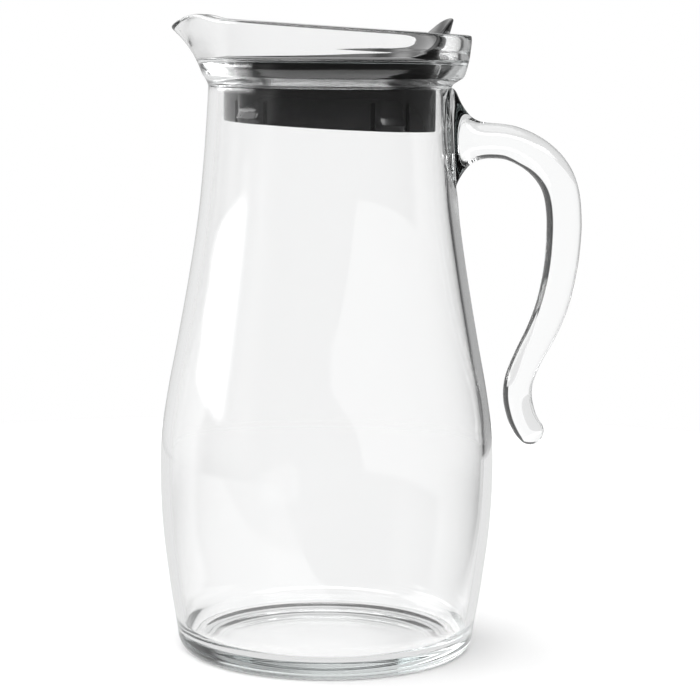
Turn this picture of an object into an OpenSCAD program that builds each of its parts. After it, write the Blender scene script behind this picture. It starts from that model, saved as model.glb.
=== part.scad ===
// Glass water jug: a blown body with a pulled pouring lip and a slanted rim,
// a solid glass handle welded to the neck with a free curled tail, and a moulded plug lid.
// The jug stands on the origin, the handle points to +X and the pouring lip to -X.

/* [Body] */
// Height of the line on which the collar leaves the neck
neck_h = 227; // [200:0.5:250]
// Outer radius of the neck just below the collar
neck_r = 48.3; // [44:0.1:54]
// Outer radius of the belly at its widest
belly_r = 67.3; // [60:0.1:80]
// Height of the widest part of the belly
belly_h = 76; // [60:0.5:100]
// Outer radius just above the rounded heel
heel_r = 60.4; // [57:0.1:64]
// Height of the rounded heel
heel_h = 8; // [5:0.1:14]
// Outer radius of the ring that stands on the table
foot_r = 55.5; // [50:0.1:57]
// Width of the ring that stands on the table
foot_w = 5; // [2:0.1:10]
// Rise of the underside at its middle
kick_h = 2; // [0.5:0.1:4]
// Thickness of the glass floor at its edge
floor_t = 6.5; // [5:0.1:12]
// Thickness of the glass wall
wall = 3.9; // [2.5:0.1:5]

/* [Collar and lip] */
// Outer radius of the collar under its rim
collar_r = 56.1; // [53:0.1:62]
// Height of the rim over the neck line, taken on the jug's axis
rim_rise = 23.3; // [18:0.1:30]
// Slant of the rim, which is higher on the lip's side, in degrees
rim_slant = 3.3; // [0:0.1:6]
// Height of the inner ledge over the neck line
ledge_rise = 11.2; // [9:0.1:14]
// Distance from the axis to the tip of the pouring lip
lip_r = 62.8; // [59:0.1:70]
// Half of the angle that the pouring lip is drawn out of, in degrees
lip_spread = 36; // [25:1:50]
// Height that the glass is raised by on each side of the lip
brow_rise = 2.6; // [0:0.1:4]
// Angle between the lip and the top of each raised side, in degrees
brow_angle = 20; // [15:1:30]

/* [Handle] */
// Drop from the neck line to the middle of the weld
weld_drop = 20.6; // [20:0.1:40]
// Distance from the neck to the middle of the handle at its widest
handle_reach = 45.9; // [38:0.1:60]
// Height from the weld to the middle of the curled tail's end
handle_drop = 117.2; // [100:0.1:130]
// Radius of the glass rod at the top of the handle
rod_r = 7.1; // [5:0.1:8]
// Half of the height of the weld on the neck
weld_half_h = 20; // [12:0.1:20]
// Half of the width of the weld on the neck
weld_half_w = 12; // [9:0.1:16]

/* [Lid] */
// Thickness of the lid's flange
flange_t = 2; // [1.2:0.1:3]
// Thickness of the lid's walls
lid_t = 1.8; // [1.2:0.1:2.4]
// Depth of the shallow dish in the lid's top
dish_h = 3; // [1:0.1:5]
// Height of the skirt, from the top of the flange to its lower edge
skirt_h = 29.6; // [24:0.1:36]
// Height of the grip over the flange
grip_h = 13.2; // [6:0.1:15]
// Half of the width of the grip where its low ends leave the flange
grip_half_w = 37.7; // [25:0.1:40]
// Slant of the skirt's lower edge, which hangs lower towards the handle, in degrees
skirt_slant = 2.7; // [0:0.1:4]
// Width of a spring finger between its slots
finger_w = 13.4; // [10:0.1:15]
// Width of each sloping flank of a finger's raised pad
flank_w = 1.4; // [0.5:0.1:3]
// Height of the slots beside a finger
slot_h = 10.4; // [7:0.1:15]
// Width of the slots beside a finger
slot_w = 2; // [0.8:0.1:2.5]
// Turn of the lid from the middle of the handle, in degrees
lid_turn = 5; // [-15:1:15]
// Width of the pouring notch under the lip
notch_w = 21; // [12:0.5:24]

/* [Fits] */
// Gap between the skirt and the inside of the neck
skirt_gap = 2.2; // [1.4:0.1:3]
// Gap between the flange and the edge of the flat seat
flange_gap = 0.8; // [0.4:0.1:1.5]
// Gap between the fingers' snap wedges and the neck
snap_gap = 0.3; // [0.1:0.05:0.6]
// Gap between the flange and the ledge that it rests on
seat_gap = 0.1; // [0:0.05:0.3]

/* [Hidden] */

GLASS = [0.86, 0.9, 0.9, 0.35];
BLACK = [0.09, 0.09, 0.1];
ROUND = 120;
SMOOTH_STEPS = 4;
OVERRUN = 5;

// How far the lofted collar and the revolved neck run into each other
lap = 0.3;
neck_in_r = neck_r - wall;
ledge_z = neck_h + ledge_rise;
// The flat seat ends here, and the collar's inside starts a little further out
ledge_r = neck_r - lap;

// Body outlines: [share of the height from the lower size to the upper one, share of the
// radius from the smaller size to the larger one]
heel_to_belly_share = [[0.2, 0.33], [0.38, 0.58], [0.56, 0.8], [0.76, 0.95], [1, 1]];
belly_to_neck_share = [[0.09, 0.963], [0.2, 0.835], [0.33, 0.64], [0.5, 0.4], [0.66, 0.207],
    [0.8, 0.1], [0.92, 0.033], [1, 0]];
heel_steps = 6;

function mix(a, b, t) = a + (b - a) * t;

// A smooth curve through hand-chosen stations, which may hold any number of values each
function along(p, i, t) =
    let(a = p[max(i - 1, 0)], b = p[i], c = p[i + 1], d = p[min(i + 2, len(p) - 1)])
    b + 0.5 * t * ((c - a) + t * ((2 * a - 5 * b + 4 * c - d) + t * (3 * (b - c) + d - a)));
function smooth(p, steps) = [
    for (i = [0:len(p) - 2], k = [0:steps - 1]) along(p, i, k / steps),
    p[len(p) - 1]
];

heel_arc = [
    for (k = [0:heel_steps - 1])
        let(a = 90 * k / heel_steps)
        [mix(foot_r, heel_r, sin(a)), heel_h * (1 - cos(a))]
];
side_stations = concat(
    [[heel_r, heel_h]],
    [for (s = heel_to_belly_share) [mix(heel_r, belly_r, s[1]), mix(heel_h, belly_h, s[0])]],
    [for (s = belly_to_neck_share) [mix(neck_r, belly_r, s[1]), mix(belly_h, neck_h, s[0])]]
);
side_curve = smooth(side_stations, SMOOTH_STEPS);

// The cavity follows the outer side one wall further in, and rounds into the floor
cavity_round_r = 2 * wall;
cavity_side = [
    for (p = side_curve)
        if (p[1] > floor_t + cavity_round_r) [p[0] - wall, p[1]]
];
cavity_corner_r = cavity_side[0][0] - cavity_round_r;
cavity_corner = [
    for (k = [0:heel_steps - 1])
        let(a = 90 * k / heel_steps)
        [cavity_corner_r + cavity_round_r * sin(a), floor_t + cavity_round_r * (1 - cos(a))]
];

// The collar's section, listed up the outside, over the rim and down the inside to the ledge:
// [share of the way from neck_r to collar_r, share of rim_rise, share of the rim's slant]
collar_share = [[0.02, 0.035, 0], [0.12, 0.062, 0.02], [0.628, 0.18, 0.12], [0.744, 0.32, 0.3],
    [0.885, 0.54, 0.5], [0.97, 0.75, 0.75], [1, 0.875, 0.9], [1, 0.95, 1], [0.96, 0.99, 1],
    [0.8, 1, 1], [0.62, 1, 1], [0.535, 0.975, 1], [0.505, 0.9, 0.92], [0.462, 0.76, 0.72],
    [0.405, 0.63, 0.35], [0.34, 0.515, 0.04]];
// The same rows at the middle of the lip. [share of the way from neck_r to lip_r, share of rim_rise]
lip_share = [[0.005, 0.02], [0.03, 0.06], [0.11, 0.172], [0.248, 0.343], [0.414, 0.536],
    [0.66, 0.75], [0.87, 0.888], [0.99, 0.962], [1, 1.01], [0.93, 1.042], [0.83, 1.03],
    [0.735, 0.968], [0.585, 0.867], [0.41, 0.722], [0.28, 0.61], [0.18, 0.52]];
lip_step = 4;
collar_steps = 36;
// The angles of the collar's sections, closer together across the lip, with the lip at 180
lip_count = ceil(lip_spread / lip_step);
collar_angles = concat(
    [for (k = [-lip_count:lip_count]) 180 + lip_spread * k / lip_count],
    [for (k = [1:collar_steps - 1]) 180 + lip_spread + (360 - 2 * lip_spread) * k / collar_steps]
);

function away(a) = abs(a - 360 * floor(a / 360) - 180);
function bell(a, half) = abs(a) < half ? 0.5 + 0.5 * cos(180 * a / half) : 0;
function lip_pull(a) = pow(bell(away(a), lip_spread), 1.5);
function brow(a) = brow_rise * bell(away(a) - brow_angle, brow_angle);

function collar_point(k, a) =
    let(
        c = collar_share[k],
        s = lip_share[k],
        pull = lip_pull(a),
        plain_r = mix(neck_r, collar_r, c[0]),
        r = mix(plain_r, mix(neck_r, lip_r, s[0]), pull),
        plain_z = rim_rise * c[1] - tan(rim_slant) * r * cos(a) * c[2],
        z = neck_h + mix(plain_z, rim_rise * s[1], pull) + brow(a) * c[2]
    )
    [r * cos(a), r * sin(a), z];
function ring_point(r, z, a) = [r * cos(a), r * sin(a), z];

// The buried part of the collar lies inside the neck's wall
bury_in_r = mix(neck_in_r, neck_r, 0.45);
bury_out_r = mix(neck_in_r, neck_r, 0.7);
bury_h = mix(0, wall, 0.5);
collar_rings = concat(
    [[for (a = collar_angles) ring_point(bury_in_r, neck_h + bury_h / 2, a)]],
    [[for (a = collar_angles) ring_point(bury_in_r, ledge_z - bury_h, a)]],
    [[for (a = collar_angles) ring_point(ledge_r, ledge_z - bury_h / 2, a)]],
    [[for (a = collar_angles) ring_point(ledge_r, ledge_z + lap, a)]],
    [for (k = [len(collar_share) - 1:-1:0]) [for (a = collar_angles) collar_point(k, a)]],
    [[for (a = collar_angles) ring_point(bury_out_r, neck_h - bury_h / 2, a)]]
);

// A closed tube of sections, joined ring to ring, and last to first when it goes round
module loft(rings, goes_round) {
    sides = len(rings[0]);
    count = len(rings);
    last = goes_round ? count - 1 : count - 2;
    points = [for (r = rings, p = r) p];
    walls = [
        for (i = [0:last], j = [0:sides - 1])
            let(
                n = (i + 1) % count,
                m = (j + 1) % sides,
                a = i * sides + j,
                b = i * sides + m,
                c = n * sides + m,
                d = n * sides + j
            )
            each [[a, b, c], [a, c, d]]
    ];
    caps = goes_round ? [] : [
        [for (j = [sides - 1:-1:0]) j],
        [for (j = [0:sides - 1]) (count - 1) * sides + j]
    ];
    polyhedron(points = points, faces = concat(walls, caps));
}

// The revolved glass, outside only, from the foot to the top of the neck
module body_solid(top_z) {
    outline = concat(
        [[0, kick_h], [foot_r - foot_w, 0]],
        heel_arc,
        side_curve,
        [[neck_r, top_z], [0, top_z]]
    );
    rotate_extrude($fn = ROUND)
        polygon(outline);
}

module cavity() {
    outline = concat(
        [[0, floor_t]],
        cavity_corner,
        cavity_side,
        [[neck_in_r, ledge_z + OVERRUN], [0, ledge_z + OVERRUN]]
    );
    rotate_extrude($fn = ROUND)
        polygon(outline);
}

module jug_body() {
    color(GLASS) {
        difference() {
            body_solid(ledge_z);
            cavity();
        }
        loft(collar_rings, true);
    }
}

// Handle stations: [share of handle_reach from the neck, share of handle_drop from the weld,
// rod thickness as a share of rod_r]
handle_share = [[0.37, 0, 1], [0.53, 0.007, 0.99], [0.723, 0.042, 1.01], [0.871, 0.094, 1.03],
    [0.963, 0.16, 1.02], [1, 0.249, 1], [0.998, 0.352, 0.975], [0.972, 0.45, 0.94],
    [0.915, 0.556, 0.91], [0.826, 0.65, 0.86], [0.708, 0.744, 0.81], [0.634, 0.821, 0.815],
    [0.623, 0.881, 0.82], [0.656, 0.94, 0.81], [0.704, 0.981, 0.79], [0.741, 1, 0.775]];
// The weld's stations: [share of handle_reach, share of weld_half_h, share of weld_half_w]
weld_share = [[-0.08, 1.08, 1.12], [0.04, 0.99, 0.91], [0.09, 0.74, 0.78], [0.17, 0.49, 0.685],
    [0.26, 0.38, 0.615]];
handle_sides = 16;
handle_steps = 2;
weld_h = neck_h - weld_drop;
tail_steps = 3;

// Each station is [x, z, half thickness in the handle's plane, half width across it]
handle_stations = concat(
    [for (s = weld_share)
        [neck_r + handle_reach * s[0], weld_h, weld_half_h * s[1], weld_half_w * s[2]]],
    [for (s = handle_share)
        [neck_r + handle_reach * s[0], weld_h - handle_drop * s[1], rod_r * s[2], rod_r * s[2]]]
);
handle_curve = smooth(handle_stations, handle_steps);

function unit(v) = v / norm(v);
function heading(p, i) =
    let(a = p[max(i - 1, 0)], b = p[min(i + 1, len(p) - 1)])
    unit([b[0] - a[0], b[1] - a[1]]);
function rod_ring(x, z, dir, half_t, half_w) = [
    for (j = [0:handle_sides - 1])
        let(a = 360 * j / handle_sides)
        [x - dir[1] * half_t * cos(a), half_w * sin(a), z + dir[0] * half_t * cos(a)]
];
tail_end = handle_curve[len(handle_curve) - 1];
tail_dir = heading(handle_curve, len(handle_curve) - 1);
handle_rings = concat(
    [for (i = [0:len(handle_curve) - 1])
        let(s = handle_curve[i])
        rod_ring(s[0], s[1], heading(handle_curve, i), s[2], s[3])],
    [for (k = [1:tail_steps])
        let(a = 80 * k / tail_steps, r = tail_end[2])
        rod_ring(tail_end[0] + tail_dir[0] * r * sin(a), tail_end[1] + tail_dir[1] * r * sin(a),
            tail_dir, r * cos(a), r * cos(a))]
);

module handle() {
    color(GLASS)
        difference() {
            loft(handle_rings, false);
            body_solid(ledge_z);
        }
}

// Lid sizes that follow the jug
flange_r = ledge_r - flange_gap;
skirt_r = neck_in_r - skirt_gap;
snap_r = neck_in_r - snap_gap;
finger_r = mix(skirt_r, snap_r, 0.3);
seat_z = ledge_z + seat_gap;
seat_t = 1.2;
seat_in = 0.8;
flange_z = seat_z + seat_t;
lid_top_z = flange_z + flange_t;
skirt_z = lid_top_z - skirt_h;
edge_r = 0.8;
dish_r = skirt_r - 2 * lid_t;
dish_slope = 2;
snap_h = 5.3;
snap_low_h = 2.4;
grip_lean = 2.3;
skirt_slope = tan(skirt_slant);
skirt_low_z = skirt_z - skirt_slope * skirt_r;
// The grip's upper edge, from its end to its middle: [share of grip_half_w, share of grip_h]
grip_share = [[0.93, 0.06], [0.84, 0.15], [0.72, 0.33], [0.607, 0.53], [0.47, 0.67],
    [0.324, 0.8], [0.175, 0.925], [0.066, 0.99]];
finger_angles = [61, -61, 146, -146];

module lid_revolved() {
    top = lid_top_z;
    under = top - dish_h - lid_t;
    rotate_extrude($fn = ROUND)
        polygon([
            [0, under],
            [0, top - dish_h],
            [dish_r - dish_slope, top - dish_h],
            [dish_r, top],
            [flange_r - edge_r, top],
            [flange_r - edge_r * (1 - sin(45)), top - edge_r * (1 - cos(45))],
            [flange_r, top - edge_r],
            [flange_r, flange_z],
            [flange_r - seat_in, flange_z],
            [flange_r - seat_in, seat_z],
            [skirt_r, seat_z],
            [skirt_r, skirt_low_z],
            [skirt_r - lid_t, skirt_low_z],
            [skirt_r - lid_t, under]
        ]);
}

// The snap finger's face: a raised pad from the skirt's edge up into the flange, with a wedge
// near its lower end
module finger_ring() {
    rotate_extrude($fn = ROUND)
        polygon([
            [skirt_r - lid_t / 2, flange_z],
            [finger_r, flange_z],
            [finger_r, skirt_z + snap_h],
            [snap_r, skirt_z + snap_low_h],
            [finger_r, skirt_z],
            [finger_r, skirt_z - lap],
            [skirt_r - lid_t / 2, skirt_z - lap]
        ]);
}

// The pad's plan, with its sloping flanks
module pad_plan() {
    foot_w = finger_w / 2;
    face_w = foot_w - flank_w;
    far_x = snap_r + OVERRUN;
    polygon([[0, -foot_w], [skirt_r, -foot_w], [finger_r, -face_w], [far_x, -face_w],
        [far_x, face_w], [finger_r, face_w], [skirt_r, foot_w], [0, foot_w]]);
}

// Fingers and slots stand at the same height over the slanted edge
module at_fingers() {
    for (a = finger_angles)
        rotate([0, 0, a])
            translate([0, 0, -skirt_slope * skirt_r * cos(a)])
                children();
}

module under_skirt() {
    far = skirt_r + OVERRUN;
    rotate([90, 0, 0])
        linear_extrude(2 * far, center = true)
            polygon([[-far, skirt_low_z - far], [far, skirt_low_z - far],
                [far, skirt_z - skirt_slope * far], [-far, skirt_z + skirt_slope * far]]);
}

// The grip is a leaning wall on the flange, cut to a tongue with long low ends
module grip() {
    foot_z = lid_top_z - flange_t / 2;
    tip_z = lid_top_z + grip_h;
    grip_edge = [for (s = grip_share) [grip_half_w * s[0], lid_top_z + grip_h * s[1]]];
    intersection() {
        rotate_extrude($fn = ROUND)
            polygon([
                [flange_r - 2.4 * lid_t, foot_z],
                [flange_r - edge_r, foot_z],
                [flange_r - edge_r, lid_top_z],
                [flange_r - edge_r / 2, mix(lid_top_z, tip_z, 0.25)],
                [flange_r + grip_lean * 0.35, mix(lid_top_z, tip_z, 0.5)],
                [flange_r + grip_lean, tip_z - edge_r / 2],
                [flange_r + grip_lean - edge_r / 2, tip_z],
                [flange_r + grip_lean - lid_t, tip_z],
                [flange_r + grip_lean * 0.35 - lid_t, mix(lid_top_z, tip_z, 0.5)],
                [flange_r - edge_r / 2 - lid_t, mix(lid_top_z, tip_z, 0.25)],
                [flange_r - 2.4 * lid_t, lid_top_z]
            ]);
        rotate([90, 0, 90])
            linear_extrude(flange_r + grip_lean + OVERRUN)
                polygon(concat(
                    [[grip_half_w, foot_z - lap], [grip_half_w, lid_top_z]],
                    grip_edge,
                    [[0, tip_z]],
                    [for (k = [len(grip_edge) - 1:-1:0]) [-grip_edge[k][0], grip_edge[k][1]]],
                    [[-grip_half_w, lid_top_z], [-grip_half_w, foot_z - lap]]
                ));
    }
}

module lid() {
    slot_out = finger_w / 2;
    notch_low_z = lid_top_z - dish_h - lid_t - notch_w / 2;
    color(BLACK)
        rotate([0, 0, lid_turn])
            difference() {
                union() {
                    lid_revolved();
                    at_fingers()
                        intersection() {
                            finger_ring();
                            translate([0, 0, skirt_z - lap])
                                linear_extrude(flange_z - skirt_z + lap)
                                    pad_plan();
                        }
                    grip();
                }
                under_skirt();
                at_fingers()
                    for (side = [-slot_out - slot_w, slot_out])
                        translate([skirt_r / 2, side, skirt_z - OVERRUN])
                            cube([skirt_r, slot_w, slot_h + OVERRUN]);
                translate([-flange_r - OVERRUN, -notch_w / 2, notch_low_z])
                    cube([flange_r + OVERRUN - dish_r - lid_t, notch_w, OVERRUN + lid_top_z]);
            }
}

jug_body();
handle();
lid();
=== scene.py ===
"""Looks of a glass water jug with a pulled lip, a welded rod handle and a black plug lid.

The jug stands on its axis, Z, with the handle towards +X and the lip towards -X. The shapes are
worked out in millimetres and degrees and go into the scene in metres."""

import math

import bmesh
import bpy
from mathutils import Matrix


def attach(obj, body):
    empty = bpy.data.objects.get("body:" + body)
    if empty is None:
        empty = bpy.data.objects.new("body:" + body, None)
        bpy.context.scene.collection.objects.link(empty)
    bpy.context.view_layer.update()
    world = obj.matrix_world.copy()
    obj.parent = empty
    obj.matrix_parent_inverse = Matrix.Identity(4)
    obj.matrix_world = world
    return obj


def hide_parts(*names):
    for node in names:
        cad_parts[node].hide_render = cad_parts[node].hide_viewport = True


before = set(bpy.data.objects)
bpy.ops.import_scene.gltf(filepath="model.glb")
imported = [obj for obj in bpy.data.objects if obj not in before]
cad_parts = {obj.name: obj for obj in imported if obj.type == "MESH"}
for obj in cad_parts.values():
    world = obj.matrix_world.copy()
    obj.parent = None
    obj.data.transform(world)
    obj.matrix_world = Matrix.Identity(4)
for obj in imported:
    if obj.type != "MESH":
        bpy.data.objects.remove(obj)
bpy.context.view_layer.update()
scene = bpy.context.scene

MM = 0.001
TURN = 2 * math.pi
SAME = 1e-6

# The camera. The eye's place is in metres; a pitch of 90 would look level.

FOCAL_PX, FRAME_PX = 2430, 700
SENSOR_W = 36
EYE = (0.0090, -0.972, 0.253)
EYE_PITCH, EYE_ROLL = 82.3, 0.55
CLIP_NEAR, CLIP_FAR = 0.05, 30


def place_camera():
    """The photograph's view: eye at the rim's height, looking slightly down, a little tilted."""
    data = bpy.data.cameras.new("camera")
    data.sensor_width = SENSOR_W
    data.lens = FOCAL_PX / FRAME_PX * SENSOR_W
    data.clip_start, data.clip_end = CLIP_NEAR, CLIP_FAR
    camera = bpy.data.objects.new("camera", data)
    scene.collection.objects.link(camera)
    turned = (Matrix.Rotation(math.radians(EYE_PITCH), 4, "X")
              @ Matrix.Rotation(math.radians(EYE_ROLL), 4, "Z"))
    camera.matrix_world = Matrix.Translation(EYE) @ turned
    scene.camera = camera


place_camera()


# Curves and meshes that several pieces share.

def mix(a, b, t):
    return a + (b - a) * t


def ramp(x, low, high):
    """0 below low, 1 above high, and smooth between them."""
    t = min(max((x - low) / (high - low), 0), 1)
    return t * t * (3 - 2 * t)


def bell(angle, half):
    """1 in the middle, falling smoothly to 0 at half to both sides."""
    return 0.5 + 0.5 * math.cos(math.pi * angle / half) if abs(angle) < half else 0


def smooth(stations, steps):
    """A smooth curve through the stations, which may hold any number of values each."""
    out = []
    for i in range(len(stations) - 1):
        a, b = stations[max(i - 1, 0)], stations[i]
        c, d = stations[i + 1], stations[min(i + 2, len(stations) - 1)]
        for k in range(steps):
            t = k / steps
            out.append(tuple(
                q + 0.5 * t * (s - p + t * (2 * p - 5 * q + 4 * s - u + t * (3 * (q - s) + u - p)))
                for p, q, s, u in zip(a, b, c, d)))
    return out + [tuple(stations[-1])]


def arc(cx, cz, r, start, end, steps, rise=None):
    """Points of an arc about (cx, cz), or of an ellipse's where rise is its upright radius."""
    angles = [math.radians(mix(start, end, k / steps)) for k in range(steps + 1)]
    return [(cx + r * math.cos(a), cz + (rise or r) * math.sin(a)) for a in angles]


def at_height(curve, z):
    """The radius of a rising curve of (r, z) at a height."""
    for (r0, z0), (r1, z1) in zip(curve, curve[1:]):
        if z <= z1:
            return mix(r0, r1, (z - z0) / (z1 - z0))
    return curve[-1][0]


def unit(x, z):
    size = math.hypot(x, z)
    return x / size, z / size


def on_circle(r, angle, z):
    """The point in metres at a radius and a height in mm, and an angle in radians."""
    return r * math.cos(angle) * MM, r * math.sin(angle) * MM, z * MM


def azimuth(v):
    return math.atan2(v.co.y, v.co.x)


def spin_round(bm, line, steps):
    """Turns an open line of vertices once round the axis."""
    edges = [bm.edges.new(pair) for pair in zip(line, line[1:])]
    bmesh.ops.spin(bm, geom=line + edges, cent=(0, 0, 0), axis=(0, 0, 1), dvec=(0, 0, 0),
                   angle=TURN, steps=steps, use_merge=True, use_duplicate=False)
    bmesh.ops.remove_doubles(bm, verts=bm.verts[:], dist=SAME)


def outward(bm):
    bmesh.ops.recalc_face_normals(bm, faces=bm.faces[:])
    return bm


def loose(name, bm):
    """The mesh as an object of its own, with no material or body yet."""
    mesh = bpy.data.meshes.new(name)
    bm.to_mesh(mesh)
    bm.free()
    made = bpy.data.objects.new(name, mesh)
    scene.collection.objects.link(made)
    return made


# The vessel's sizes.

NECK_R, NECK_H = 48.3, 227.0
BELLY_R, BELLY_H = 67.3, 76.0
HEEL_R, HEEL_H = 60.4, 8.0
FOOT_R, FOOT_W = 55.5, 5.0
KICK_H, FLOOR_T, WALL = 2.0, 6.5, 3.9
COLLAR_R, RIM_RISE, RIM_SLANT = 56.1, 23.3, 3.3
LEDGE_R, LEDGE_H, LEDGE_FILLET, NECK_EDGE = 50.2, 238.2, 1.0, 0.3
LIP_R, LIP_SPREAD, LIP_PULL = 62.8, 36.0, 1.5
BROW_RISE, BROW_ANGLE = 1.75, 20.0
NECK_IN_R = NECK_R - WALL
CORNER_R = 2 * WALL
COLUMNS, ROW_H = 192, 3.44

# The side's curve, as shares of the way up and of the way out from heel or neck to belly.
HEEL_TO_BELLY = [(0.2, 0.33), (0.38, 0.58), (0.56, 0.8), (0.76, 0.95), (1, 1)]
BELLY_TO_NECK = [(0.09, 0.963), (0.2, 0.835), (0.33, 0.64), (0.5, 0.4), (0.66, 0.207),
                 (0.8, 0.1), (0.92, 0.033), (1, 0)]
# The raised underside, from its middle to the foot ring.
UNDERSIDE = [(0, KICK_H), (12, 1.95), (24, 1.78), (35, 1.4), (43, 0.85), (48, 0.35),
             (FOOT_R - FOOT_W, 0.05), (51.6, 0)]
# The collar, up the outside, over the rim and down the inside. Each row has its share of the way
# from neck to collar, of the rim's rise and of its slant, and the first two again at the lip.
COLLAR = [(0.012, 0.022, 0, 0.003, 0.015), (0.05, 0.045, 0.01, 0.012, 0.035),
          (0.12, 0.075, 0.02, 0.03, 0.068), (0.35, 0.132, 0.06, 0.065, 0.12),
          (0.58, 0.186, 0.1, 0.1, 0.17), (0.625, 0.205, 0.14, 0.125, 0.195),
          (0.665, 0.24, 0.2, 0.17, 0.242), (0.744, 0.32, 0.3, 0.248, 0.343),
          (0.885, 0.54, 0.5, 0.414, 0.536), (0.97, 0.765, 0.75, 0.66, 0.75),
          (1, 0.905, 0.9, 0.87, 0.888), (1, 0.988, 1, 0.99, 0.962), (0.96, 1.028, 1, 1, 1.01),
          (0.8, 1.038, 1, 0.93, 1.042), (0.62, 1.038, 1, 0.83, 1.03),
          (0.535, 1.013, 1, 0.735, 0.968), (0.505, 0.935, 0.92, 0.585, 0.867),
          (0.462, 0.775, 0.72, 0.41, 0.722), (0.405, 0.65, 0.3, 0.28, 0.63)]
COLLAR_STEPS = 3
# Where the ledge, the neck's bore and the vessel's floor have their rows.
LEDGE_ROWS, BORE_ROWS, FLOOR_ROWS = (48, 46.4), (236, 233, 230), (40, 28, 14, 0)

SIDE = smooth([(HEEL_R, HEEL_H)]
              + [(mix(HEEL_R, BELLY_R, s), mix(HEEL_H, BELLY_H, h)) for h, s in HEEL_TO_BELLY]
              + [(mix(NECK_R, BELLY_R, s), mix(BELLY_H, NECK_H, h)) for h, s in BELLY_TO_NECK], 16)


def vessel_rows():
    """The section from the middle of the underside, up the outside, over the rim and down the
    inside to the middle of the floor. A row is (r, z, slant share, r at the lip, z at the lip)."""
    heel = arc(FOOT_R, HEEL_H, HEEL_R - FOOT_R, -90, 0, 10, rise=HEEL_H)
    heights = [NECK_H - ROW_H * k for k in range(round((NECK_H - HEEL_H) / ROW_H))]
    side = [(at_height(SIDE, z), z) for z in reversed(heights) if z > HEEL_H + 1]
    rows = [(r, z, 0, r, z) for r, z in UNDERSIDE + heel + side]
    collar = [(mix(NECK_R, COLLAR_R, out), NECK_H + RIM_RISE * up, slant,
               mix(NECK_R, LIP_R, lip_out), NECK_H + RIM_RISE * lip_up)
              for out, up, slant, lip_out, lip_up in COLLAR]
    rows += smooth([rows[-1]] + collar, COLLAR_STEPS)[1:]
    ledge = arc(LEDGE_R, LEDGE_H + LEDGE_FILLET, LEDGE_FILLET, -8, -90, 6)
    ledge += [(r, LEDGE_H) for r in LEDGE_ROWS]
    ledge += arc(NECK_IN_R + NECK_EDGE, LEDGE_H - NECK_EDGE, NECK_EDGE, 90, 180, 3)
    low = FLOOR_T + CORNER_R
    bore = [(NECK_IN_R, z) for z in BORE_ROWS]
    wall = [(at_height(SIDE, z) - WALL, z) for z in heights if z > low + 1]
    corner = arc(at_height(SIDE, low) - WALL - CORNER_R, low, CORNER_R, 0, -90, 10)
    floor = [(r, FLOOR_T) for r in FLOOR_ROWS]
    return rows + [(r, z, 0, r, z) for r, z in ledge + bore + wall + corner + floor]


def shaped(row, angle):
    """A point of the vessel: the collar's rows slant, and the lip is pulled out opposite +X."""
    r, z, slant, lip_r, lip_z = row
    away = abs(math.degrees(angle) % 360 - 180)
    pull = bell(away, LIP_SPREAD) ** LIP_PULL
    brow = BROW_RISE * bell(away - BROW_ANGLE, BROW_ANGLE)
    r = mix(r, lip_r, pull)
    z -= math.tan(math.radians(RIM_SLANT)) * r * math.cos(angle) * slant
    return on_circle(r, angle, mix(z, lip_z, pull) + brow * slant)


def spun_vessel():
    """The vessel's mesh, its rows, and the layer that says which row a vertex is on."""
    bm = bmesh.new()
    rows = vessel_rows()
    tag = bm.verts.layers.int.new("row")
    line = [bm.verts.new((r * MM, 0, z * MM)) for r, z, *_ in rows]
    for i, v in enumerate(line):
        v[tag] = i
    spin_round(bm, line, COLUMNS)
    for v in bm.verts:
        v.co = shaped(rows[v[tag]], azimuth(v))
    return bm, rows, tag


# The handle's sizes. The weld is an oval hole in the neck that the rod grows out of.

WELD_ROWS, WELD_COLUMNS = 11, 8
WELD_TOP, WELD_LOW, WELD_HALF_W = 227.9, 186.0, 10.4
WELD_MID = mix(WELD_LOW, WELD_TOP, 0.5)
PAD_TOP, PAD_LOW, PAD_HALF_W, PAD_T, PAD_FLAT = WELD_TOP + 1.5, 171.0, 18.0, 0.4, 0.4
COLLAR_FLARE = 1.35
WELD_H, REACH, DROP, ROD_R = 206.4, 45.9, 117.2, 7.1
# Rows and millimetres round the weld whose vertices are shared out evenly, and how often.
EASED_ROWS, EASED_HALF_W, MOVED_HALF_W, EASE_ROUNDS = 20, 34, 31, 40
# The rings and the part of the neck that are smoothed at the end, where the rod leaves the neck.
# What is farther out than OUTSIDE_R is the neck's outside.
SOFT_RINGS, SOFT_HALF_W, SOFT_BELOW, SOFT_ROUNDS = 9, 18, 12, 6
OUTSIDE_R = 47.0
# Each row of the weld has its share of the handle's reach, its half thickness and half width,
# and how far it still hugs the neck.
WELD = [(0.045, 19.6, 9.7, 1), (0.09, 14.8, 8.9, 0.8), (0.17, 9.8, 8.1, 0.35),
        (0.26, 7.6, 7.38, 0.08)]
# Each row of the rod has its shares of the reach, of the drop and of the rod's radius.
HANDLE = [(0.37, 0, 1), (0.53, 0.007, 0.99), (0.723, 0.042, 1.01), (0.871, 0.094, 1.03),
          (0.963, 0.16, 1.02), (1, 0.249, 1), (0.998, 0.352, 0.975), (0.972, 0.45, 0.94),
          (0.915, 0.556, 0.91), (0.826, 0.65, 0.86), (0.708, 0.744, 0.81), (0.634, 0.821, 0.815),
          (0.623, 0.881, 0.82), (0.656, 0.94, 0.81), (0.704, 0.981, 0.79), (0.741, 1, 0.775)]
ROD_STEPS, END_STEPS, END_ANGLE = 5, 8, 85


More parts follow.
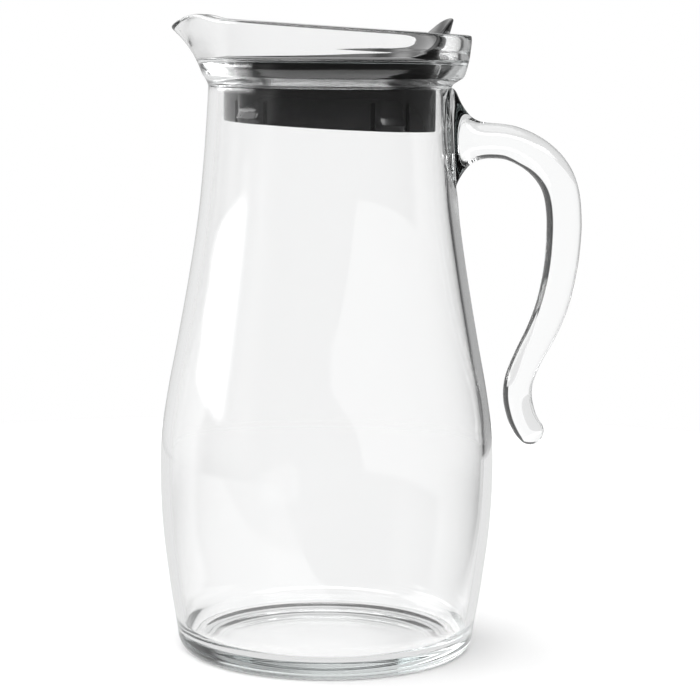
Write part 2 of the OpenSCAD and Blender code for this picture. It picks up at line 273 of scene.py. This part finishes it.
def neck_surface(u, z):
    """The point of the neck's outside at a height, u mm round it from the handle's plane. A thin
    pad of glass has run out round the weld."""
    r = NECK_R + (z - NECK_H) * COLLAR_FLARE if z > NECK_H else at_height(SIDE, z)
    tall = PAD_TOP - WELD_MID if z > WELD_MID else WELD_MID - PAD_LOW
    r += PAD_T * (1 - ramp(math.hypot(u / PAD_HALF_W, (z - WELD_MID) / tall), PAD_FLAT, 1))
    return on_circle(r, u / NECK_R, z)


def round_neck(v):
    """(distance round the neck, height) of a vertex, in mm."""
    return azimuth(v) * NECK_R, v.co.z / MM


def hole_loop(bm):
    """The vertices round the mesh's one hole in order, from the top towards +Y."""
    linked = {}
    for e in bm.edges:
        if e.is_boundary:
            for v in e.verts:
                linked.setdefault(v, []).append(e.other_vert(v))
    top = max(linked, key=lambda v: (round(v.co.z, 6), -abs(v.co.y)))
    loop = [top]
    following = max(linked[top], key=lambda v: v.co.y)
    while following is not top:
        loop.append(following)
        following = next(v for v in linked[following] if v is not loop[-2])
    return loop


def open_weld(bm, rows, tag):
    """Cuts the hole that the handle grows out of, makes it oval and raises the pad round it.
    Returns the hole's vertices in order."""
    neck_row = max(i for i, (r, z, slant, *_) in enumerate(rows)
                   if slant == 0 and abs(z - NECK_H) < SAME and r > NECK_R - 1)

    def inside(face):
        c = face.calc_center_median()
        return (abs(math.atan2(c.y, c.x)) < WELD_COLUMNS * TURN / COLUMNS
                and all(neck_row - WELD_ROWS <= v[tag] <= neck_row + 1 for v in face.verts))

    bmesh.ops.delete(bm, geom=[f for f in bm.faces if inside(f)], context="FACES")
    loop = hole_loop(bm)
    oval = {}
    for k, v in enumerate(loop):
        a = TURN * k / len(loop)
        oval[v] = (WELD_HALF_W * math.sin(a),
                   WELD_MID + (WELD_TOP - WELD_LOW) / 2 * math.cos(a))
    low_row = neck_row - EASED_ROWS
    place = {v: round_neck(v) for v in bm.verts if v not in oval
             and low_row <= v[tag] <= neck_row and abs(round_neck(v)[0]) < EASED_HALF_W}
    free = [v for v in place if low_row < v[tag] < neck_row and abs(place[v][0]) < MOVED_HALF_W]
    place.update(oval)
    around = {v: [e.other_vert(v) for e in v.link_edges if e.other_vert(v) in place] for v in free}
    for _ in range(EASE_ROUNDS):
        place.update({v: (sum(place[n][0] for n in around[v]) / len(around[v]),
                          sum(place[n][1] for n in around[v]) / len(around[v])) for v in free})
    for v, (u, z) in place.items():
        v.co = neck_surface(u, z)
    return loop


def rod_rings():
    """The rings along the handle, each a station and its heading. A station is (x, z, half
    thickness, half width, share that still hugs the neck). The last rings round off the end."""
    stations = [(NECK_R + REACH * s, WELD_H, h, w, hug) for s, h, w, hug in WELD]
    stations += [(NECK_R + REACH * s, WELD_H - DROP * d, ROD_R * t, ROD_R * t, 0)
                 for s, d, t in HANDLE]
    curve = smooth(stations, ROD_STEPS)
    rings = []
    for i, station in enumerate(curve):
        a, b = curve[max(i - 1, 0)], curve[min(i + 1, len(curve) - 1)]
        rings.append((station, unit(b[0] - a[0], b[1] - a[1])))
    (end_x, end_z, r, *_), heading = rings[-1]
    for k in range(1, END_STEPS + 1):
        a = math.radians(END_ANGLE * k / END_STEPS)
        x, z = end_x + heading[0] * r * math.sin(a), end_z + heading[1] * r * math.sin(a)
        rings.append(((x, z, r * math.cos(a), r * math.cos(a), 0), heading))
    return rings


def rod_point(station, heading, a):
    x, z, half_t, half_w, hug = station
    y = half_w * math.sin(a)
    x -= hug * (NECK_R - math.sqrt(max(NECK_R ** 2 - y ** 2, 0)))
    return ((x - heading[1] * half_t * math.cos(a)) * MM, y * MM,
            (z + heading[0] * half_t * math.cos(a)) * MM)


def grow_handle(bm, loop):
    """Extrudes the hole's rim along the handle, ring by ring, and returns the rings' vertices."""
    made = []
    for station, heading in rod_rings():
        edges = [bm.edges.get((v, w)) for v, w in zip(loop, loop[1:] + loop[:1])]
        new = bmesh.ops.extrude_edge_only(bm, edges=edges)["geom"]
        fresh = {v for v in new if isinstance(v, bmesh.types.BMVert)}
        loop = [next(e.other_vert(v) for e in v.link_edges if e.other_vert(v) in fresh)
                for v in loop]
        for k, v in enumerate(loop):
            v.co = rod_point(station, heading, TURN * k / len(loop))
        made.append(loop)
    cap = bm.faces.new(loop)
    bmesh.ops.poke(bm, faces=[cap])
    return made


def as_object(name, bm):
    for face in outward(bm).faces:
        face.smooth = True
    piece = loose(name, bm)
    return piece


def glass_jug():
    """Vessel and handle as one skin, because a hot weld has no seam."""
    bm, rows, tag = spun_vessel()
    loop = open_weld(bm, rows, tag)
    rings = grow_handle(bm, loop)
    soft = loop + [v for ring in rings[:SOFT_RINGS] for v in ring]
    chosen = set(soft)
    soft += [v for v in bm.verts if v[tag] and abs(round_neck(v)[0]) < SOFT_HALF_W
             and WELD_LOW - SOFT_BELOW < v.co.z / MM < NECK_H - 1
             and math.hypot(v.co.x, v.co.y) > OUTSIDE_R * MM and v not in chosen]
    for _ in range(SOFT_ROUNDS):
        bmesh.ops.smooth_vert(bm, verts=soft, factor=0.5, use_axis_x=True, use_axis_y=True,
                              use_axis_z=True)
    return as_object("jug_glass", bm)


jug = glass_jug()
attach(jug, "jug")
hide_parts("jug_body", "handle")

# The plug lid's sizes.

LID_TURN = 5
FLANGE_R, SKIRT_R, SNAP_R, LID_T = 47.2, 42.2, 44.1, 1.8
SEAT_Z, LID_TOP, SKIRT_Z, FALL_R = 238.3, 239.6, 211.9, 43.0
DISH_R, DISH_H, DISH_FLOOR_R = 38.9, 1.5, 36.6
DISH_FILLET, DISH_EDGE, FALL_EDGE, FLANGE_EDGE = 0.7, 0.5, 1.0, 0.3
SEAT_FILLET, SKIRT_EDGE, ROOF_FILLET = 0.5, 0.45, 1.0
DISH_ROWS, SKIRT_ROWS = (0, 12, 24), (234, 230, 226, 222, 218, 215)
LID_COLUMNS = 160
SKIRT_SLANT, SLANT_FADE = 2.85, (-2, 12)
FINGER_R = mix(SKIRT_R, SNAP_R, 0.3)
FINGER_ANGLES = (61.5, -61.5, 140, -140)
FINGER_HALF_W, FLANK_W, FLANK_DROP = 5.2, 1.6, 0.12
WEDGE_H, WEDGE_UNDERCUT, WEDGE_NARROWING = (2.2, 2.5, 5.3), 0.2, 0.04
FINGER_SUNK, FINGER_BACK = 0.15, 0.9
SLOT_W, SLOT_H, SLOT_D, SLOT_GAP = 1.9, 10.2, 1.4, 0.05
GRIP_R, GRIP_HALF_ANGLE, GRIP_H, GRIP_HALF_T, GRIP_SUNK = 42.0, 53, 15.1, 0.9, 1
GRIP_LEAN, GRIP_BEND, GRIP_EDGE, GRIP_STEPS = 6.1, 0.6, 0.05, 96
# How tall the grip's foot stays where it runs out, and how thin it gets there for its height.
GRIP_LEAST, GRIP_SLIM = 0.7, 0.45
# The grip's outline: degrees from its middle and the share of its height there.
GRIP_SHAPE = [(0, 1), (5, 0.99), (10, 0.965), (14, 0.92), (18, 0.85), (21, 0.77), (24, 0.69),
              (27.5, 0.58), (30, 0.43), (33, 0.22), (38, 0.09), (45, 0.03), (GRIP_HALF_ANGLE, 0)]
NOTCH_W, NOTCH_FROM_R, NOTCH_D, NOTCH_TALL, NOTCH_CORNER = 21.0, 40.4, 24, 40, 3
SHARP_ANGLE = 32


def lid_section():
    """The lid's closed section, from the middle of the dish out over the flange and back under."""
    dish_z = LID_TOP - DISH_H
    roof_z = dish_z - LID_T
    skirt_in = SKIRT_R - LID_T
    line = [(r, dish_z) for r in DISH_ROWS]
    line += arc(DISH_FLOOR_R, dish_z + DISH_FILLET, DISH_FILLET, -90, -34, 4)
    line += arc(DISH_R, LID_TOP - DISH_EDGE, DISH_EDGE, 146, 90, 3)
    line += arc(FALL_R - FALL_EDGE, LID_TOP - FALL_EDGE, FALL_EDGE, 90, 75, 2)
    line += arc(FLANGE_R - FLANGE_EDGE, SEAT_Z + FLANGE_EDGE, FLANGE_EDGE, 75, -90, 7)
    line += [(FLANGE_R - 1, SEAT_Z)]
    line += arc(SKIRT_R + SEAT_FILLET, SEAT_Z - SEAT_FILLET, SEAT_FILLET, 90, 180, 3)
    line += [(SKIRT_R, z) for z in SKIRT_ROWS]
    line += arc(SKIRT_R - SKIRT_EDGE, SKIRT_Z + SKIRT_EDGE, SKIRT_EDGE, 0, -90, 3)
    line += arc(skirt_in + SKIRT_EDGE, SKIRT_Z + SKIRT_EDGE, SKIRT_EDGE, -90, -180, 3)
    line += [(skirt_in, z) for z in reversed(SKIRT_ROWS)]
    line += arc(skirt_in - ROOF_FILLET, roof_z - ROOF_FILLET, ROOF_FILLET, 0, 90, 3)
    return line + [(r, roof_z) for r in reversed(DISH_ROWS)]


def lid_shell():
    bm = bmesh.new()
    spin_round(bm, [bm.verts.new((r * MM, 0, z * MM)) for r, z in lid_section()], LID_COLUMNS)
    return outward(bm)


def finger_face(up):
    """The radius of a spring finger's face at a height over its lower edge: flat, with a snap
    wedge near the edge."""
    low, crest, top = WEDGE_H
    if up > top:
        return FINGER_R
    if up > crest:
        return mix(SNAP_R, FINGER_R, (up - crest) / (top - crest))
    if up > low:
        return SNAP_R
    return mix(FINGER_R - WEDGE_UNDERCUT, SNAP_R, up / low)


def finger_pad(angle):
    """A raised pad with sloping flanks, closed into the skirt behind it."""
    low, crest, top = WEDGE_H
    # Rows close to each edge keep it crisp.
    ups = [0.02, 1.1, low - 0.15, low, crest, crest + 0.2, 4.2, top - 0.15, top + 0.1,
           8, 12, 16, 20, 24, SEAT_Z - SKIRT_Z + 0.4]
    right = [0, 3.5, FINGER_HALF_W - 0.25, FINGER_HALF_W + 0.1, FINGER_HALF_W + FLANK_W]
    sides = [-side for side in right[:0:-1]] + right
    columns, rows = len(sides) - 1, len(ups) - 1
    bm = bmesh.new()
    bmesh.ops.create_grid(bm, x_segments=columns, y_segments=rows, size=1)
    for v in bm.verts:
        side = sides[round((v.co.x + 1) / 2 * columns)]
        up = ups[round((v.co.y + 1) / 2 * rows)]
        edge = abs(side) - FINGER_HALF_W
        r = face = finger_face(up)
        if edge > 0:
            r = SKIRT_R - FINGER_SUNK if edge > 1 else face - FLANK_DROP
        if edge < 1:
            side *= 1 - WEDGE_NARROWING * (face - FINGER_R)
        v.co = on_circle(r, math.radians(angle) + side / SKIRT_R, SKIRT_Z + up)
    for v in bmesh.ops.extrude_face_region(bm, geom=bm.faces[:])["geom"]:
        if isinstance(v, bmesh.types.BMVert):
            v.co = on_circle(SKIRT_R - FINGER_BACK, azimuth(v), v.co.z / MM)
    return outward(bm)


def slot_cutter(angle, side):
    """A narrow block from below the edge up to the slot's top. The slot leaves a thin skin
    inside, as it looks dark right down to the edge."""
    deep, below = 6, 5
    place = (Matrix.Rotation(math.radians(angle), 4, "Z")
             @ Matrix.Rotation(side / SKIRT_R, 4, "Z")
             @ Matrix.Translation(((SKIRT_R - SLOT_D + deep / 2) * MM, 0,
                                   (SKIRT_Z + (SLOT_H - below) / 2) * MM))
             @ Matrix.Diagonal((deep * MM, SLOT_W * MM, (SLOT_H + below) * MM, 1)))
    bm = bmesh.new()
    bmesh.ops.create_cube(bm, size=1, matrix=place)
    return bm


def grip_height(angle):
    """The grip's height over the flange, at an angle in degrees from its middle."""
    for (a, h), (b, k) in zip(GRIP_SHAPE, GRIP_SHAPE[1:]):
        if angle <= b:
            return GRIP_H * mix(h, k, (angle - a) / (b - a))
    return 0


def grip():
    """A leaning wall with a rounded upper edge: its section, which is 1 tall, is spun along the
    flange's edge, and each section is then stretched to the grip's height there."""
    bm = bmesh.new()
    flank_top = 0.75
    flank = [(GRIP_HALF_T, flank_top * k / 3) for k in range(4)]
    section = (flank + arc(0, 1 - GRIP_EDGE, GRIP_HALF_T, 0, 180, 8, rise=GRIP_EDGE)
               + [(-a, up) for a, up in reversed(flank)])
    ring = [bm.verts.new((GRIP_R + across, 0, up)) for across, up in section]
    edges = [bm.edges.new((a, b)) for a, b in zip(ring, ring[1:] + ring[:1])]
    bmesh.ops.rotate(bm, verts=ring, cent=(0, 0, 0),
                     matrix=Matrix.Rotation(math.radians(-GRIP_HALF_ANGLE), 3, "Z"))
    bmesh.ops.spin(bm, geom=ring + edges, cent=(0, 0, 0), axis=(0, 0, 1), dvec=(0, 0, 0),
                   angle=math.radians(2 * GRIP_HALF_ANGLE), steps=GRIP_STEPS, use_merge=False,
                   use_duplicate=False)
    bmesh.ops.holes_fill(bm, edges=[e for e in bm.edges if e.is_boundary], sides=0)
    for v in bm.verts:
        a = azimuth(v)
        across = math.hypot(v.co.x, v.co.y) - GRIP_R
        high = sum(grip_height(abs(math.degrees(a) + d)) for d in (-2, -1, 0, 1, 2)) / 5
        tall = high + mix(GRIP_LEAST, 1, min(high, 1))
        if v.co.z < flank_top + SAME:
            up = v.co.z * tall
        else:
            up = tall - (1 - v.co.z) * min(tall, GRIP_HALF_T / GRIP_EDGE)
        lift = max((up - GRIP_SUNK) / GRIP_H, 0)
        thick = min(1, GRIP_SLIM * tall / GRIP_HALF_T)
        v.co = on_circle(GRIP_R + across * thick + GRIP_LEAN * lift ** GRIP_BEND, a,
                         LID_TOP - GRIP_SUNK + up)
    return outward(bm)


def notch_cutter():
    """A block with rounded lower edges that opens the skirt on the lip's side."""
    low = LID_TOP - DISH_H - LID_T - NOTCH_W / 2
    bm = bmesh.new()
    bmesh.ops.create_cube(bm, size=1, matrix=Matrix.Translation(
        (-(NOTCH_FROM_R + NOTCH_D / 2) * MM, 0, (low + NOTCH_TALL / 2) * MM))
        @ Matrix.Diagonal((NOTCH_D * MM, NOTCH_W * MM, NOTCH_TALL * MM, 1)))
    lower = [e for e in bm.edges if abs(e.verts[0].co.x - e.verts[1].co.x) > NOTCH_D / 2 * MM
             and max(v.co.z for v in e.verts) < (low + 1) * MM]
    bmesh.ops.bevel(bm, geom=lower, offset=NOTCH_CORNER * MM, segments=5, profile=0.5,
                    affect="EDGES", material=-1)
    return bm


def carved(body, tools):
    """Adds and cuts with each tool in turn, and leaves one plain mesh."""
    for operation, tool in tools:
        work = body.modifiers.new("carve", "BOOLEAN")
        work.operation, work.solver, work.object = operation, "EXACT", tool
    bpy.context.view_layer.update()
    done = bpy.data.meshes.new_from_object(
        body.evaluated_get(bpy.context.evaluated_depsgraph_get()))
    body.modifiers.clear()
    body.data = done
    for _, tool in tools:
        bpy.data.objects.remove(tool)


def hang_and_turn(mesh):
    """The skirt's lower edge hangs lower towards the handle, the rest stays level, and the lid
    lies a little turned in the neck."""
    bm = bmesh.new()
    bm.from_mesh(mesh)
    for v in bm.verts:
        share = 1 - ramp(v.co.z / MM, SKIRT_Z + SLANT_FADE[0], SKIRT_Z + SLANT_FADE[1])
        v.co.z -= v.co.x * math.tan(math.radians(SKIRT_SLANT)) * share
    bmesh.ops.rotate(bm, verts=bm.verts[:], cent=(0, 0, 0),
                     matrix=Matrix.Rotation(math.radians(LID_TURN), 3, "Z"))
    bm.to_mesh(mesh)
    bm.free()


def plug_lid():
    body = loose("lid_moulding", lid_shell())
    tools = [("UNION", loose("pad", finger_pad(a))) for a in FINGER_ANGLES]
    tools.append(("UNION", loose("grip", grip())))
    away = FINGER_HALF_W + FLANK_W + SLOT_W / 2 + SLOT_GAP
    tools += [("DIFFERENCE", loose("slot", slot_cutter(a, side)))
              for a in FINGER_ANGLES for side in (-away, away)]
    tools.append(("DIFFERENCE", loose("notch", notch_cutter())))
    carved(body, tools)
    hang_and_turn(body.data)
    body.data.shade_smooth()
    body.data.set_sharp_from_angle(angle=math.radians(SHARP_ANGLE))
    return body


lid = plug_lid()
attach(lid, "lid")
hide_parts("lid")


# Materials.

class Value:
    """A number in a material's node tree, so that shader maths is written as expressions."""

    def __init__(self, sheet, socket):
        self.sheet, self.socket = sheet, socket

    def __add__(self, other):
        return self.sheet.maths("ADD", self, other)

    def __sub__(self, other):
        return self.sheet.maths("SUBTRACT", self, other)

    def __rsub__(self, other):
        return self.sheet.maths("SUBTRACT", other, self)

    def __mul__(self, other):
        return self.sheet.maths("MULTIPLY", self, other)

    def __truediv__(self, other):
        return self.sheet.maths("DIVIDE", self, other)

    def __neg__(self):
        return self.sheet.maths("SUBTRACT", 0.0, self)

    __radd__, __rmul__ = __add__, __mul__

    def rising(self, low, high):
        """0 below the low value, 1 above the high one, smooth between."""
        return self.sheet.node("ShaderNodeMapRange", {"interpolation_type": "SMOOTHSTEP"},
                               Value=self, From_Min=low, From_Max=high)

    def band(self, low, high, soft):
        """1 between low and high, falling off over soft to both sides."""
        return (self.rising(low - soft, low + soft)
                * (1.0 - self.rising(high - soft, high + soft)))

    def over(self, limit):
        return self.sheet.maths("GREATER_THAN", self, limit)


class Sheet:
    """A node tree that is filled by calls, for a material or the world."""

    def __init__(self, owner):
        owner.use_nodes = True
        self.tree = owner.node_tree
        self.tree.nodes.clear()

    def node(self, kind, settings=None, out=0, **inputs):
        """Adds a node. Inputs are named by socket, or i0, i1... by place; out picks the output."""
        made = self.tree.nodes.new(kind)
        for key, value in (settings or {}).items():
            setattr(made, key, value)
        for key, value in inputs.items():
            place = int(key[1:]) if key[0] == "i" and key[1:].isdigit() else key.replace("_", " ")
            socket = made.inputs[place]
            if isinstance(value, Value):
                self.tree.links.new(value.socket, socket)
            else:
                socket.default_value = value
        return Value(self, made.outputs[out]) if len(made.outputs) else None

    def maths(self, operation, *values):
        return self.node("ShaderNodeMath", {"operation": operation},
                         **{f"i{k}": v for k, v in enumerate(values)})

    def parts(self, vector):
        """The x, y and z of a vector."""
        split = self.node("ShaderNodeSeparateXYZ", Vector=vector).socket.node
        return [Value(self, socket) for socket in split.outputs]

    def path(self, name):
        return self.node("ShaderNodeLightPath", out=name)


WHITE = (1, 1, 1, 1)
# Where painted light and shade change the lid's plastic, in metres: the painted glow from below fades
# out up the skirt, the painted shade in the slots and behind the skirt ends out at the skirt's face
# and up at the flange, where the face's tone is everywhere.
LID_PAINTED_GLOW_FADE, LID_PAINTED_SHADE_OUT, LID_PAINTED_SHADE_TOP = (0.209, 0.228), (0.0412, 0.0418), (0.228, 0.23)


def material(name):
    made = bpy.data.materials.new(name)
    return made, Sheet(made)


def clear_glass():
    """Clear glass with a faint wave in its faces and a faint tint in its depth."""
    made, sheet = material("clear_glass")
    where = sheet.node("ShaderNodeTexCoord", out="Object")
    wave = sheet.node("ShaderNodeTexNoise", Vector=where, Scale=22.0, Detail=1.0)
    bump = sheet.node("ShaderNodeBump", Strength=0.006, Distance=0.004, Height=wave)
    body = sheet.node("ShaderNodeBsdfPrincipled", Base_Color=WHITE, Roughness=0.0, IOR=1.5,
                      Transmission_Weight=1.0, Normal=bump)
    depth = sheet.node("ShaderNodeVolumeAbsorption", Color=(0.80, 0.82, 0.82, 1), Density=18.0)
    sheet.node("ShaderNodeOutputMaterial", Surface=body, Volume=depth)
    return made


def black_plastic():
    """Satin black with a fine grain. A painted glow from below makes it palest at the skirt's lower
    edge, and painted shade makes it blackest in the slots and behind the skirt."""
    made, sheet = material("black_plastic")
    where = sheet.node("ShaderNodeTexCoord", out="Object")
    grain = sheet.node("ShaderNodeTexNoise", Vector=where, Scale=2600.0, Detail=2.0)
    cloud = sheet.node("ShaderNodeTexNoise", Vector=where, Scale=60.0, Detail=3.0)
    bump = sheet.node("ShaderNodeBump", Strength=0.12, Distance=0.0001, Height=grain)
    x, y, z = sheet.parts(where)
    out = sheet.maths("SQRT", x * x + y * y)
    # Painted glow from below: the plastic's colour is lighter towards the skirt's lower edge.
    low = 1.0 - z.rising(*LID_PAINTED_GLOW_FADE)
    # Painted shade: this is 0 in the slots and behind the skirt, inside the skirt's face and below
    # the flange, where the colour goes near black.
    skin = 1.0 - (1.0 - out.rising(*LID_PAINTED_SHADE_OUT)) * (1.0 - z.rising(*LID_PAINTED_SHADE_TOP))
    # The tone: the painted glow and the painted shade, times a random cloud.
    depth = (0.25 + 0.75 * low) * (0.85 + 0.3 * cloud) * (0.06 + 0.94 * skin)
    tint = sheet.node("ShaderNodeMix", {"data_type": "RGBA"}, out=2, i0=depth,
                      i6=(0.0, 0.0, 0.0, 1), i7=(0.04, 0.04, 0.041, 1))
    body = sheet.node("ShaderNodeBsdfPrincipled", Base_Color=tint, Roughness=0.11 + cloud * 0.06,
                      Normal=bump)
    sheet.node("ShaderNodeOutputMaterial", Surface=body)
    return made


def paint(piece, made):
    piece.data.materials.clear()
    piece.data.materials.append(made)


paint(jug, clear_glass())
paint(lid, black_plastic())


# The floor and the studio's light. Places on the floor are in metres.

FLOOR_R, FLOOR_FADE, FLOOR_GLOW = 0.6, (0.53, 0.58), 0.1
# The floor is clear for what an outer face mirrors of its front, so that it shows the room.
FLOOR_FRONT = (0.17, 0.2)
# A dark card lies on the far right, where x - CARD_LEAN * y is over CARD_EDGE. It shows through
# solid glass and mirrored, and not through the hollow vessel.
CARD_LEAN, CARD_EDGE = 0.8, (0.1, 0.115)
# How bright the floor looks through solid glass, through a hollow vessel and mirrored, and how
# much darker the card is when mirrored.
FLOOR_SOLID, FLOOR_HOLLOW, FLOOR_THROWN, CARD_THROWN = 0.87, 1.06, 0.8, 0.75
# How much of what glass shows of the floor is set that way, the rest being its lit surface.
FLOOR_SET = 0.98
# How much less the hollow vessel shows of it at the sides, and where that ends.
FLOOR_SHADE, SHADE_OUT, SHADE_AWAY = 0.4, (0.004, 0.03), (0.2, 0.5)

# The lamps that glass and plastic throw back: how bright, then from where to where and how
# softly in degrees, round the jug and up. Turn 0 is behind the jug and -90 on the lip's side.
SIDE_LAMPS = [(0.3, (-125, -84, 8), (-4, 45, 5)), (6.0, (-98, -44, 6), (4, 11, 1)),
              (2.5, (-95, -30, 5), (14, 48, 4)), (0.08, (45, 110, 15), (-15, 15, 5))]
# The same in front of the jug, for both sides of it, and the lamp overhead.
FRONT_LAMPS = [(6.5, (96, 118), (36, 50, 3)), (0.1, (100, 125), (-15, 15, 5))]
TOP_LAMP, TOP_FROM = 2.0, (60, 66)
ROOM_GLOW = 0.03
# The bright wall behind the jug, dimmer on outer faces, and the shade on its right half.
BACK_WALL, OUTER_DIM, WALL_TURN = 0.88, 0.3, (-84, 33, 4)
BACK_SHADE, BACK_SHADE_ON, BACK_SHADE_OFF = 0.4, (0, 12), (29, 37)
# What is behind solid and hollow glass, and the shade at the sides of the hollow vessel.
BEHIND_SOLID, BEHIND_HOLLOW, SIDE_SHADE, SIDE_SHADE_ON = 1.08, 1.06, 0.06, (18, 50)
# The dark cards behind solid glass: round the jug and up, and how dark they get together.
RIGHT_CARD, TOP_CARD, LEFT_CARD = ((33, 100, 2), (-40, 70, 3)), ((-35, -20), (34, 38)), (-125, -48, 8)
LEFT_CARD_DARK, DARKEST = 0.32, 1.06
# The grey strip: how far over a face leans that mirrors it, how its tone rises with that, and
# how far in front it starts. The eye looks down by about EYE_DIP.
STRIP_LEAN, STRIP_TONE, STRIP_FRONT, EYE_DIP = (0.33, 0.62, 0.006), (8.0, 0.9), (0.2, 0.42), 0.035


def sight(sheet):
    """Three switches: what is seen straight, through one solid stretch of glass, and through a
    hollow vessel. All three are off for what glass or plastic throws back."""
    thrown = (sheet.path("Glossy Depth") + sheet.path("Diffuse Depth")).over(0.5)
    through = sheet.path("Is Transmission Ray") * (1.0 - thrown)
    hollow = through * sheet.path("Transmission Depth").over(2.5)
    return sheet.path("Is Camera Ray"), through - hollow, hollow


def outer(sheet):
    """1 for what an outer face mirrors, 0 for anything that has been inside the glass."""
    return 1.0 - sheet.path("Transmission Depth").over(0.5)


def pale_floor():
    """A white table top that keeps the shadow and melts into the white of the room."""
    bm = bmesh.new()
    bmesh.ops.create_circle(bm, cap_ends=True, segments=96, radius=FLOOR_R)
    floor = loose("floor", bm)
    made, sheet = material("pale_floor")
    place = sheet.node("ShaderNodeTexCoord", out="Object")
    x, y, _ = sheet.parts(place)
    away = sheet.node("ShaderNodeVectorMath", {"operation": "LENGTH"}, out="Value", i0=place)
    straight, solid, hollow = sight(sheet)
    by_surface = sheet.maths("MAXIMUM", sheet.path("Is Glossy Ray"),
                             sheet.path("Is Transmission Ray"))
    thrown = by_surface - solid - hollow
    matt = sheet.node("ShaderNodeBsdfDiffuse", Color=(0.8, 0.8, 0.8, 1))
    glow = sheet.node("ShaderNodeEmission", Color=WHITE, Strength=FLOOR_GLOW * straight)
    by_eye = sheet.node("ShaderNodeAddShader", i0=matt, i1=glow)
    card = (x - CARD_LEAN * y).rising(*CARD_EDGE)
    shade = (x * x).rising(*SHADE_OUT) * (1.0 - away.rising(*SHADE_AWAY))
    level = (solid * (FLOOR_SOLID - FLOOR_SOLID * card)
             + hollow * (FLOOR_HOLLOW - FLOOR_SHADE * shade)
             + thrown * (FLOOR_THROWN - CARD_THROWN * card))
    by_glass = sheet.node("ShaderNodeEmission", Color=WHITE, Strength=level)
    both = sheet.node("ShaderNodeMixShader", i0=(solid + hollow + thrown) * FLOOR_SET, i1=by_eye,
                      i2=by_glass)
    clear = sheet.node("ShaderNodeBsdfTransparent")
    gone = sheet.maths("MAXIMUM", away.rising(*FLOOR_FADE),
                       thrown * outer(sheet) * (-y).rising(*FLOOR_FRONT))
    melt = sheet.node("ShaderNodeMixShader", i0=gone, i1=both, i2=clear)
    sheet.node("ShaderNodeOutputMaterial", Surface=melt)
    paint(floor, made)


def studio():
    """White behind the glass, with dark cards on the right, above and on the left that only
    solid glass shows. What glass or plastic throws back comes from a dim room with a bright wall
    behind, its lamps, and a grey strip low in front that the collar's slanted faces mirror."""
    world = bpy.data.worlds.new("studio")
    scene.world = world
    sheet = Sheet(world)
    x, y, z = sheet.parts(sheet.node("ShaderNodeTexCoord", out="Generated"))
    turn = sheet.maths("ARCTAN2", x, y) * (180 / math.pi)
    rise = sheet.maths("ARCSINE", z) * (180 / math.pi)
    aside = sheet.maths("ABSOLUTE", turn)
    straight, solid, hollow = sight(sheet)
    right_card = turn.band(*RIGHT_CARD[0]) * rise.band(*RIGHT_CARD[1])
    top_card = turn.rising(*TOP_CARD[0]) * rise.rising(*TOP_CARD[1])
    left_card = LEFT_CARD_DARK * turn.band(*LEFT_CARD)
    dim = sheet.maths("MINIMUM", right_card + top_card + left_card, DARKEST)
    shade = SIDE_SHADE * aside.rising(*SIDE_SHADE_ON)
    wall = ((BACK_WALL - OUTER_DIM * outer(sheet)) * turn.band(*WALL_TURN)
            - BACK_SHADE * turn.rising(*BACK_SHADE_ON) * (1.0 - turn.rising(*BACK_SHADE_OFF)))
    lamps = (sum(bright * turn.band(*across) * rise.band(*up) for bright, across, up in SIDE_LAMPS)
             + sum(bright * aside.rising(*across) * rise.band(*up)
                   for bright, across, up in FRONT_LAMPS)
             + TOP_LAMP * rise.rising(*TOP_FROM))
    # How far the mirroring face leans over, as the eye looks along +Y.
    lean = (-z - EYE_DIP) / sheet.maths("SQRT", 1.0 - y)
    strip = ((STRIP_TONE[0] * lean - STRIP_TONE[1]) * lean.band(*STRIP_LEAN)
             * (-y).rising(*STRIP_FRONT))
    room = ROOM_GLOW + wall + lamps + strip
    level = (straight + solid * (BEHIND_SOLID - dim) + hollow * (BEHIND_HOLLOW - shade)
             + (1.0 - straight - solid - hollow) * room)
    light = sheet.node("ShaderNodeBackground", Color=WHITE, Strength=level)
    sheet.node("ShaderNodeOutputWorld", Surface=light)


pale_floor()
studio()

scene.view_settings.view_transform = "Standard"
scene.cycles.max_bounces = 24
scene.cycles.glossy_bounces = 16
scene.cycles.transmission_bounces = 24
